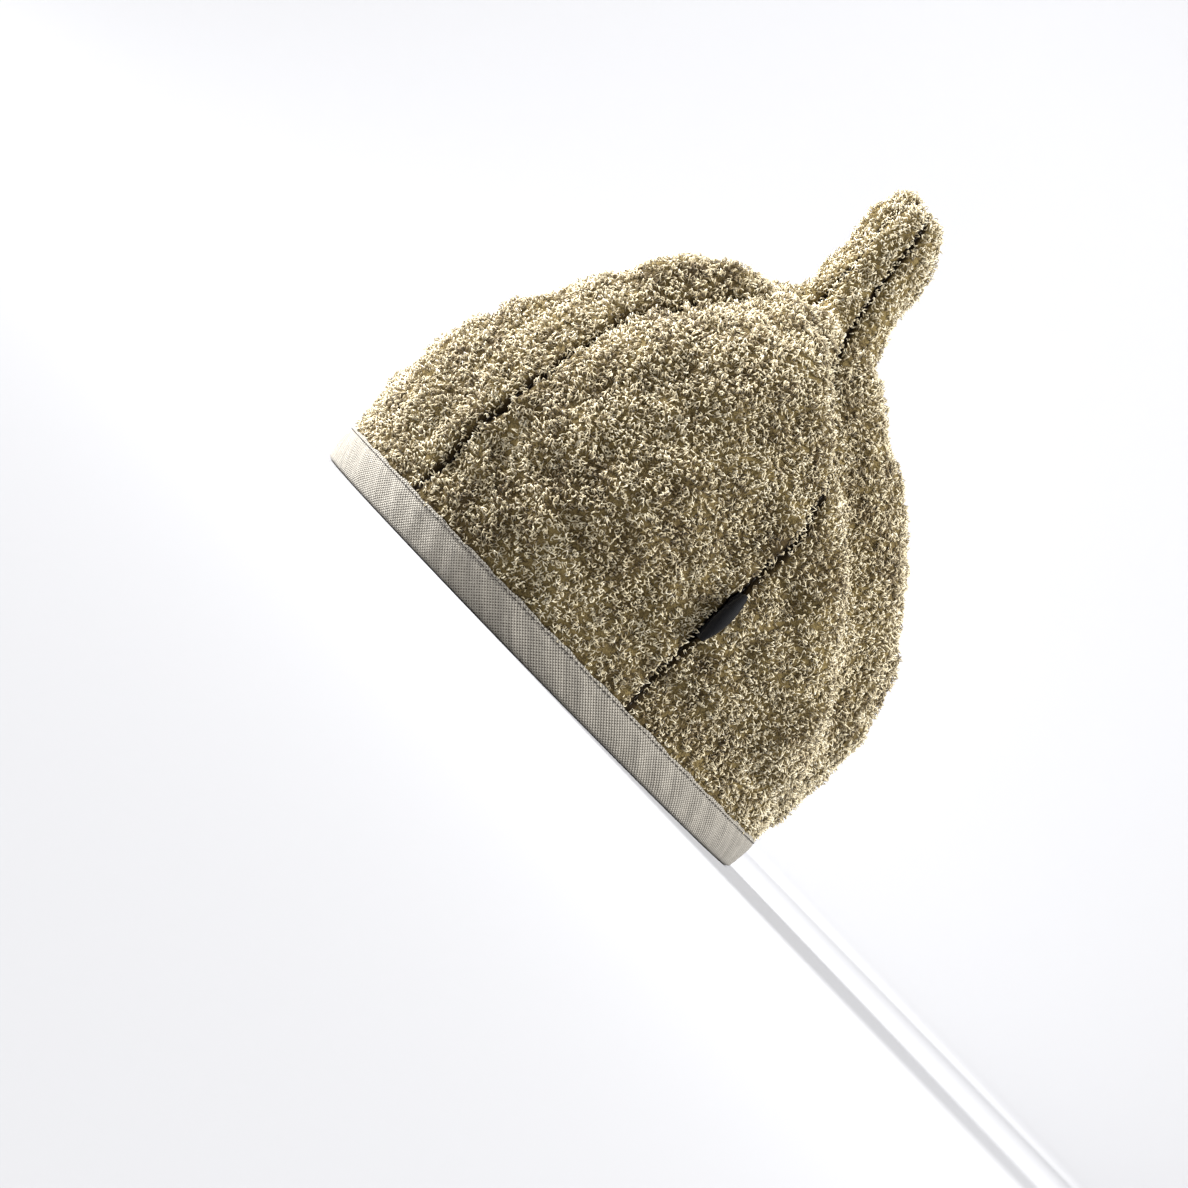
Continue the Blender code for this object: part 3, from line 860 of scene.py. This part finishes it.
def ground_cloth(gore, material, reverse):
    """A gore's ground: outer and inner sheets as grids of length by share across, joined at
    the seams, the rim and the tip to a closed shell. The inner sheet shows the reverse."""
    rows = round(PROFILE_END / CLOTH_STEP)
    start = length_at(BAND_PLY + CLEARANCE)
    at = np.linspace(start, PROFILE_END, rows)[:, None]
    height = profile(at)[0]
    first = tab_slot(gore.first, height) / gore_width(gore, at)
    last = 1 - tab_slot(gore.last, height) / gore_width(gore, at)
    across = first + (last - first) * smooth_step(np.linspace(0, 1, CLOTH_COLUMNS), 0, 1)[None, :]
    pressed = BAND_INSET + BAND_PLY + CLEARANCE
    outer_depth = GROUND_DEPTH + in_band(height) * (pressed - GROUND_DEPTH) + 0 * across
    inner_depth = CLOTH_THICKNESS + 0 * across
    outer = crown_point(gore, at, across, outer_depth)
    inner = crown_point(gore, at, across, inner_depth)
    points = np.concatenate([outer, inner[:, ::-1]], axis=1)
    columns = points.shape[1]
    faces = shell_faces(rows, columns)
    inside = (np.arange(columns) >= CLOTH_COLUMNS) & (np.arange(columns) < columns - 1)
    second = np.zeros(len(faces), bool)
    second[:(rows - 1) * columns] = np.tile(inside, rows - 1)
    # Painted shade in the tint: nil in the seams, where the ground takes its darkest colour, and
    # the pile's painted patches beside
    beyond_seam_shade = smooth_step(seam_distance(gore, at, across), SEAM_BARE, SEAM_SHORT)
    tint = beyond_seam_shade * (GROUND_TINT + GROUND_PATCHES * painted_pile_shade(outer))
    tint = np.concatenate([tint, 0 * tint + 1], axis=1).ravel()
    run = (across - 0.5) * gore_width(gore, at)
    uv = np.stack(np.broadcast_arrays(np.concatenate([run, run[:, ::-1]], axis=1), at), -1)
    name = gore.name + "_ground"
    mesh = new_mesh(name, points.reshape(-1, 3), faces, uv.reshape(-1, 2), tint, second)
    piece = new_piece(name, mesh, material, "terry_cloth", gore.name)
    mesh.materials.append(reverse)
    return piece


def even_spots(count):
    """Evenly scattered spots of the unit square: a series that steps by one over the plastic
    number, the two-dimensional golden ratio, and by one over its square."""
    golden = 1.32471795724474602596
    number = np.arange(count)[:, None]
    return (0.5 + number / np.array([[golden, golden**2]])) % 1.0


def loop_spots(gore, per_area):
    """Lengths and shares across of a gore's loops, as many to each area: the spots of the
    unit square, stretched by the inverse of the area gathered up to each length."""
    fine = np.linspace(length_at(BAND_HEIGHT + CLEARANCE), PROFILE_END - PILE_MARGIN, 800)
    width = gore_width(gore, fine)
    area = np.concatenate([[0.0], np.cumsum((width[1:] + width[:-1]) / 2 * np.diff(fine))])
    spots = even_spots(round(area[-1] * per_area))
    return np.interp(spots[:, 0] * area[-1], area, fine), spots[:, 1]


def in_pile(at):
    """1 over the pile, falling to 0 at the binding's edge and at the stem's end."""
    start = length_at(BAND_HEIGHT + CLEARANCE)
    end = smooth_step(at, PROFILE_END - PILE_EASE, PROFILE_END)
    return smooth_step(at, start, start + PILE_EASE) * (1 - end)


def loop_layer(gore, layer, seed, settings):
    """One layer of a gore's loops: arches of yarn on the ground, each turned and leant its own
    way, with neighbours that lean much alike. Beside a seam they lean off it."""
    random = np.random.default_rng(seed)
    at, across = loop_spots(gore, settings.pile_density * layer.per_cm2 * 1e4)
    height = profile(at)[0]
    slot = np.maximum(tab_slot(gore.first, height), tab_slot(gore.last, height))
    away = seam_distance(gore, at, across) - slot
    at, across, away = at[away > SEAM_BARE], across[away > SEAM_BARE], away[away > SEAM_BARE]
    count = len(at)
    root, round_, up, out = crown_frame(gore, at, across, GROUND_DEPTH + LOOP_SINK)
    stray = random.normal(0, settings.loop_scatter, (2, count))
    stray *= [smooth_step(away, 0, 2 * SEAM_SHORT), in_pile(at)]
    root = root + round_ * stray[0][:, None] + up * stray[1][:, None]
    heading = math.pi * wander(root, HEADING_WAVE, HEADING_SEED)
    heading = heading + random.normal(0, HEADING_STRAY, count)
    along = round_ * np.cos(heading)[:, None] + up * np.sin(heading)[:, None]
    aside = np.cross(out, along)
    lean = layer.lean + LEAN_DRIFT * wander(root, LEAN_WAVE, LEAN_SEED)
    lean = np.radians(np.clip(lean + random.normal(0, LEAN_STRAY, count), *LEAN_RANGE))
    off_seam = np.sign((aside * round_).sum(-1)) * np.sign(0.5 - across)
    way = np.where(away < SEAM_SHORT, off_seam, random.choice([-1.0, 1.0], count, p=LEAN_ODDS))
    lift = out * np.cos(lean)[:, None] + aside * (way * np.sin(lean))[:, None]
    span = settings.loop_span * layer.long * random.uniform(*SPAN_RANGE, count)
    tall = random.uniform(*RISE_RANGE, count)
    short = SEAM_RISE + (1 - SEAM_RISE) * smooth_step(away, SEAM_BARE, SEAM_SHORT)
    rise = settings.loop_rise * layer.tall * tall * short
    radius = settings.yarn_radius * random.uniform(*YARN_RANGE, count)
    # Painted light and shade: the under layer darker, taller loops paler, and the pile's painted
    # patches and paler stem; the random stray on the next line is the yarn's own tone
    tint = LOOP_TINT + layer.tint + (tall - RISE_MIDDLE) + painted_pile_shade(root)
    tint = np.clip(tint + random.normal(0, TINT_STRAY, count), 0, 1)
    side = np.cross(along, lift)
    return yarn_arches(root, along, lift, side, span, rise, radius, tint, layer.shares)


def painted_pile_shade(points):
    """Patches of painted light and shade on the pile, as a sum of random fields, and painted
    light on the whole stem."""
    patches = sum(strength * wander(points, wave, seed) for strength, wave, seed in PAINTED_PATCHES)
    stem = smooth_step(points[..., 2], CROWN_HEIGHT, CROWN_HEIGHT + STEM_LENGTH / 4)
    return patches + STEM_PAINTED_LIGHT * stem


def terry_pile(gore, number, material, settings):
    """A gore's pile: an under layer of short loops, darker as painted shade, and an upper one of
    long pale ones.
    """
    layers = (UNDER_LOOPS, UPPER_LOOPS)
    parts = [loop_layer(gore, layer, layer.seed + number, settings) for layer in layers]
    points, faces, tint = join_parts(parts)
    mesh = new_mesh(gore.name + "_pile", points, faces, tint=tint)
    return new_piece(gore.name + "_pile", mesh, material, "terry_cloth", gore.name)


def band_section():
    """The folded strip's outline, as depths and heights: down the outer leg, round the foot
    and up the inner leg, and back the same way a ply further in. The foot is half a circle
    with its heights to a power, and the legs' points crowd towards it by another."""
    deep = BAND_INSET + 2 * (BAND_PLY + CLEARANCE) + BOUND_CLOTH
    middle, half = (BAND_INSET + deep) / 2, (deep - BAND_INSET) / 2
    turn = np.linspace(-math.pi / 2, math.pi / 2, 9)
    rise = np.linspace(0, 1, 10)[1:] ** LEG_POWER
    lines = []
    for ply, foot, roll in ((0, BAND_FOOT, 1), (BAND_PLY, 2 * BAND_PLY, LINING_ROLL)):
        roll_height = ply + BAND_FOOT * (1 - np.cos(turn) ** ROLL_POWER) * roll
        leg = foot + (BAND_HEIGHT - foot) * rise
        outer = np.stack([0 * leg + BAND_INSET + ply, leg[::-1]], -1)
        bend = np.stack([middle + (half - ply) * np.sin(turn), roll_height], -1)
        inner = np.stack([0 * leg + deep - ply, leg], -1)
        lines.append(np.concatenate([outer, bend, inner]))
    return np.concatenate([lines[0], lines[1][::-1]])


def waves(rows, turn):
    """The sum of waves at an angle round the rim: each is its height times a sine."""
    return sum(row.height * np.sin(row.turns * turn + row.phase) for row in rows)


def binding_relief(along, height):
    """How far the linen stands off the cloth: slow waves, and ripples that slant as the bias
    does, raised so that none sinks in. It lies flat at the foot and along the stitches."""
    turn = 2 * math.pi / RIM_RUN[-1] * along
    slow = sum(row.height for row in SLOW_WAVES) + waves(SLOW_WAVES, turn)
    stray = height / RIPPLE_SLANT + waves(RIPPLE_STRAY, turn)
    ripple = RIPPLE_HEIGHT * (1 + np.sin(RIPPLE_TURNS * turn + stray))
    sewn = np.exp(-(((height - BAND_HEIGHT + STITCH_INSET) / PRESSED_STITCHES) ** 2))
    return (slow + ripple) * smooth_step(height, *PRESSED_FOOT) * (1 - sewn)


def rim_binding(material):
    """The linen strip: its section carried round the rim, with the relief added to the depth
    of its outer leg and taken off that of its inner leg, and an edge that is not quite even."""
    section = band_section()
    depths, heights = section.T
    wave = np.concatenate([[0.0], np.cumsum(np.hypot(np.diff(depths), np.diff(heights)))])
    share = np.linspace(0, 1, BAND_STEPS, endpoint=False)[:, None]
    side = np.sign(np.mean(depths) - depths)
    top = smooth_step(heights, BAND_HEIGHT - EDGE_REACH, BAND_HEIGHT)
    rings, runs = [], []
    for gore, start, end in zip(GORES, RIM_RUN, RIM_RUN[1:]):
        along = start + (end - start) * share
        lift = binding_relief(along, heights[None, :]) * side
        point = crown_point(gore, length_at(heights)[None, :], share, depths[None, :] - lift)
        point[..., 2] = heights + top * waves(EDGE_WAVES, 2 * math.pi / RIM_RUN[-1] * along)
        rings.append(point)
        runs.append(along[:, 0])
    points, along = np.concatenate(rings), np.concatenate(runs)
    uv = np.stack(np.broadcast_arrays(along[:, None], wave[None, :]), -1).reshape(-1, 2)
    faces = grid_faces(len(along), len(section), wrap_rows=True, wrap_columns=True)
    mesh = new_mesh("rim_binding_linen", points.reshape(-1, 3), faces[:, ::-1], uv=uv)
    return new_piece("rim_binding_linen", mesh, material, "linen_binding", "rim_binding")


def stitch_row(root, along, out, length, settings):
    """A row of stitches: low arches of thread along the cloth, as even ones have them."""
    even = np.ones(len(root))
    rise, radius = STITCH_RISE * even, settings.thread_radius * even
    side = np.cross(along, out)
    return yarn_arches(root, along, out, side, length * even, rise, radius, even)


def binding_stitches(material, settings):
    """A row of flat stitches round the binding, a little under its edge."""
    height = BAND_HEIGHT - STITCH_INSET
    parts = []
    for gore, start, end in zip(GORES, RIM_RUN, RIM_RUN[1:]):
        number = round((end - start) / settings.stitch_pitch)
        across = (np.arange(number) + 0.5) / number
        lift = binding_relief(start + (end - start) * across, height)
        at = np.full(number, length_at(height))
        root, round_, _, out = crown_frame(gore, at, across, BAND_INSET - lift)
        length = settings.stitch_pitch * BAND_STITCH_LENGTH
        parts.append(stitch_row(root, round_, out, length, settings))
    points, faces, _ = join_parts(parts)
    mesh = new_mesh("binding_stitches", points, faces)
    return new_piece("binding_stitches", mesh, material, "linen_binding")


def seam_stitches(material, settings):
    """The thread that shows in the seams: short stitches along the bottom of each crease."""
    start, end = length_at(BAND_HEIGHT + 0.002), PROFILE_END - 0.004
    number = round((PROFILE_END - start) / (settings.stitch_pitch * SEAM_STITCH_PITCH))
    at = np.linspace(start, end, number)
    parts = []
    for gore in GORES:
        root, _, up, out = crown_frame(gore, at, np.zeros(number), GROUND_DEPTH)
        length = settings.stitch_pitch * SEAM_STITCH_LENGTH
        parts.append(stitch_row(root, up, out, length, settings))
    points, faces, _ = join_parts(parts)
    mesh = new_mesh("seam_stitches", points, faces)
    return new_piece("seam_stitches", mesh, material, "terry_cloth")


def ribbon_loop(root, belly, bend):
    """One face of the folded ribbon, laid flat: out from the seam while it spreads from root
    to belly, half a circle round the bend, and back the same way."""
    leg = np.linspace(-TAB_ROOT, bend, TAB_COLUMNS)
    spread = root + (belly - root) * smooth_step(leg, 0, bend)
    turn = np.linspace(0, math.pi, TAB_TURNS)[1:-1]
    along = np.concatenate([leg, bend + belly * np.sin(turn), leg[::-1]])
    aside = np.concatenate([spread, belly * np.cos(turn), -spread[::-1]])
    return np.stack([along, aside], -1)


def lean_forward(outline):
    """Lays a flat outline along an arc that turns by TAB_LEAN degrees over its reach."""
    along, aside = outline.T
    radius = TAB_REACH / math.radians(TAB_LEAN)
    turn = np.maximum(along, 0) / radius
    out = np.minimum(along, 0) + (radius - aside) * np.sin(turn)
    forward = radius - (radius - aside) * np.cos(turn)
    return out, forward


def side_tab(material):
    """The ribbon tab: a folded loop of tape carried up along the seam. It is fullest in its
    middle, closes to a point at both ends, and leans to the front by an arc."""
    gore = GORES[1]
    half = TAB_SLIT / 2
    shares = np.linspace(-1, 1, TAB_ROWS + 1)
    rings = []
    for share in shares:
        at = length_at(TAB_HEIGHT + share * TAB_LENGTH / 2)
        root, deep = (crown_point(gore, at, 1.0, depth, 0.0) for depth in (0.0, TAB_ROOT))
        normal = (root - deep) / TAB_ROOT
        ahead = np.cross(normal, (0, 0, 1))
        ahead /= np.linalg.norm(ahead)
        belly = half + (TAB_BELLY / 2 - half) * (1 - share**2)
        bend = TAB_REACH * (1 - TAB_CURL * share**2) - belly - TAB_PLY
        outer = ribbon_loop(half + TAB_PLY, belly + TAB_PLY, bend)
        inner = ribbon_loop(half, belly, bend)
        out, forward = lean_forward(np.concatenate([outer, inner[::-1]]))
        rings.append(root + np.outer(out, normal) + np.outer(forward, ahead))
    points = np.array(rings)
    faces = shell_faces(*points.shape[:2])
    reach = np.cumsum(np.linalg.norm(np.diff(points, axis=1, prepend=points[:, :1]), axis=-1), 1)
    uv = np.stack([reach, np.broadcast_to((shares * TAB_LENGTH / 2)[:, None], reach.shape)], -1)
    mesh = new_mesh("side_tab_tape", points.reshape(-1, 3), faces, uv=uv.reshape(-1, 2))
    return new_piece("side_tab_tape", mesh, material, "black_ribbon", "side_tab")


# Stage


def bowl_floor(material):
    """A level floor that curves up to a wall all round: a line of radius and height turned
    about the upright through the hat. It lies a hair under the rim."""
    turn = np.linspace(0, math.pi / 2, 24)[1:]
    flat = np.array([0.02, 0.5, 1.0, 1.5])
    wall = np.full(2, FLOOR_REACH + BEND_RADIUS)
    radius = np.concatenate([flat, FLOOR_REACH + BEND_RADIUS * np.sin(turn), wall])
    height = np.concatenate([0 * flat, BEND_RADIUS * (1 - np.cos(turn)), [2.0, WALL_TOP]])
    angle = np.linspace(0, 2 * math.pi, 96, endpoint=False)
    x, y = radius[:, None] * np.cos(angle), radius[:, None] * np.sin(angle)
    points = np.stack([x, y, height[:, None] - FLOOR_DROP + 0 * angle], -1).reshape(-1, 3)
    faces = grid_faces(len(radius), len(angle), wrap_columns=True)[:, ::-1].tolist()
    mesh = bpy.data.meshes.new("floor")
    mesh.from_pydata(points.tolist(), [], faces + [list(range(len(angle)))])
    mesh.shade_smooth()
    mesh.materials.append(material)
    floor = bpy.data.objects.new("floor", mesh)
    bpy.context.scene.collection.objects.link(floor)


def direction(azimuth, elevation):
    """The unit vector away from the hat at an azimuth and an elevation in degrees."""
    turn, rise = math.radians(azimuth), math.radians(elevation)
    level = math.cos(rise)
    return np.array([math.sin(turn) * level, -math.cos(turn) * level, math.sin(rise)])


def area_light(name, size, power, place, tilt, turn):
    """A square light that the camera doesn't see: it shines down, tilted up by the first
    angle and turned about the upright by the second, both in degrees."""
    light = bpy.data.lights.new(name, "AREA")
    light.size = size
    light.energy = power
    lamp = bpy.data.objects.new(name, light)
    lamp.location = place
    lamp.rotation_euler = (math.radians(tilt), 0, math.radians(turn))
    lamp.visible_camera = False
    bpy.context.scene.collection.objects.link(lamp)


def softbox(box, power):
    """A soft light that faces the hat's middle from where the box stands."""
    place = direction(box.azimuth, box.elevation) * box.distance + [0, 0, LIT_HEIGHT]
    area_light(box.name, box.size, power, place, 90 - box.elevation, box.azimuth)


def wall_wash(power):
    """A light on the far side of the hat from the camera, turned away from both, that
    brightens the wall in the picture."""
    place = direction(WASH_AZIMUTH, 0) * WASH_DISTANCE + [0, 0, WASH_HEIGHT]
    area_light("wall_wash", WASH_SIZE, power, place, 90, WASH_AZIMUTH + 180)


def picture_camera(settings):
    """The camera, turned about its own axis as the picture was, with the rim's centre at its
    place in the frame. The pixel of the rim's centre gives the camera's shift sideways."""
    roll = math.radians(settings.camera_roll)
    back = direction(settings.camera_azimuth, settings.camera_elevation)
    level = direction(settings.camera_azimuth + 90, 0)
    upright = np.cross(back, level)
    right = math.cos(roll) * level + math.sin(roll) * upright
    up = np.cross(back, right)
    pixel = SENSOR / IMAGE_SIZE * CAMERA_DISTANCE / CAMERA_LENS
    x = (RIM_CENTRE_AT[0] - IMAGE_SIZE / 2) * pixel
    y = (IMAGE_SIZE / 2 - RIM_CENTRE_AT[1]) * pixel
    place = HAT_AT + back * CAMERA_DISTANCE - right * x - up * y
    if place[2] < 0.01:
        raise RuntimeError("the camera would be under the floor")
    lens = bpy.data.cameras.new("picture")
    lens.lens = CAMERA_LENS * 1000
    lens.sensor_width = SENSOR * 1000
    lens.clip_start = 0.01
    camera = bpy.data.objects.new("picture", lens)
    matrix = np.eye(4)
    matrix[:3, :3] = np.stack([right, up, back], -1)
    matrix[:3, 3] = place
    camera.matrix_world = [list(row) for row in matrix.T]
    bpy.context.scene.collection.objects.link(camera)
    bpy.context.scene.camera = camera


def even_world(strength):
    """An even, near white light from all round."""
    world = bpy.data.worlds.new("room")
    world.use_nodes = True
    sky = world.node_tree.nodes["Background"]
    sky.inputs["Color"].default_value = linear("#f7f9fc")
    sky.inputs["Strength"].default_value = strength
    bpy.context.scene.world = world


def plain_colours():
    """Colours without a film curve, as a high-key product picture has them, printed a little
    darker and flatter so that the pale loops keep their shades."""
    view = bpy.context.scene.view_settings
    view.view_transform = "Standard"
    view.look = "None"
    view.exposure = EXPOSURE
    view.gamma = GAMMA


# Operators


class SAUNAHAT_OT_ground(bpy.types.Operator):
    """Build the knitted ground of the six gores"""

    bl_idname = "saunahat.ground"
    bl_label = "Ground cloth"

    def execute(self, context):
        material = terry_ground(context.scene.saunahat_terry)
        reverse = terry_reverse(context.scene.saunahat_terry)
        for gore in GORES:
            ground_cloth(gore, material, reverse)
        return {"FINISHED"}


class SAUNAHAT_OT_pile(bpy.types.Operator):
    """Cover the gores with terry loops"""

    bl_idname = "saunahat.pile"
    bl_label = "Terry loops"

    def execute(self, context):
        settings = context.scene.saunahat_terry
        material = terry_yarn(settings)
        for number, gore in enumerate(GORES):
            terry_pile(gore, number, material, settings)
        return {"FINISHED"}


class SAUNAHAT_OT_binding(bpy.types.Operator):
    """Fold the linen binding round the rim"""

    bl_idname = "saunahat.binding"
    bl_label = "Rim binding"

    def execute(self, context):
        rim_binding(linen_weave(context.scene.saunahat_trim))
        return {"FINISHED"}


class SAUNAHAT_OT_stitches(bpy.types.Operator):
    """Sew the binding and the seams"""

    bl_idname = "saunahat.stitches"
    bl_label = "Stitches"

    def execute(self, context):
        settings = context.scene.saunahat_trim
        material = sewing_thread(settings)
        binding_stitches(material, settings)
        seam_stitches(material, settings)
        return {"FINISHED"}


class SAUNAHAT_OT_tab(bpy.types.Operator):
    """Set the ribbon tab into the side seam"""

    bl_idname = "saunahat.tab"
    bl_label = "Side tab"

    def execute(self, context):
        side_tab(ribbon_weave(context.scene.saunahat_trim))
        return {"FINISHED"}


class SAUNAHAT_OT_stage(bpy.types.Operator):
    """Set the floor, the lights and the camera"""

    bl_idname = "saunahat.stage"
    bl_label = "Stage"

    def execute(self, context):
        settings = context.scene.saunahat_stage
        bowl_floor(pale_paint())
        softbox(FRONT_SOFTBOX, settings.front_power)
        softbox(BACK_SOFTBOX, settings.back_power)
        softbox(TOP_SOFTBOX, settings.top_power)
        wall_wash(settings.wall_power)
        even_world(settings.room_light)
        picture_camera(settings)
        plain_colours()
        return {"FINISHED"}


class SAUNAHAT_PT_panel(bpy.types.Panel):
    """The hat's pieces and stage in the sidebar"""

    bl_label = "Sauna hat"
    bl_idname = "SAUNAHAT_PT_panel"
    bl_space_type = "VIEW_3D"
    bl_region_type = "UI"
    bl_category = "Sauna hat"

    def draw(self, context):
        for step in STEPS:
            self.layout.operator(step.bl_idname)


STEPS = (
    SAUNAHAT_OT_ground,
    SAUNAHAT_OT_pile,
    SAUNAHAT_OT_binding,
    SAUNAHAT_OT_stitches,
    SAUNAHAT_OT_tab,
    SAUNAHAT_OT_stage,
)
GROUPS = (
    ("saunahat_terry", TerrySettings),
    ("saunahat_trim", TrimSettings),
    ("saunahat_stage", StageSettings),
)


def register():
    """Registers the settings, the operators and the panel."""
    for name, group in GROUPS:
        bpy.utils.register_class(group)
        setattr(bpy.types.Scene, name, bpy.props.PointerProperty(type=group))
    for step in STEPS:
        bpy.utils.register_class(step)
    bpy.utils.register_class(SAUNAHAT_PT_panel)


def unregister():
    """Takes them out again."""
    bpy.utils.unregister_class(SAUNAHAT_PT_panel)
    for step in reversed(STEPS):
        bpy.utils.unregister_class(step)
    for name, group in reversed(GROUPS):
        delattr(bpy.types.Scene, name)
        bpy.utils.unregister_class(group)


def main():
    """Builds every piece and the stage."""
    register()
    for step in STEPS:
        group, name = step.bl_idname.split(".")
        getattr(getattr(bpy.ops, group), name)()


if __name__ == "__main__":
    main()
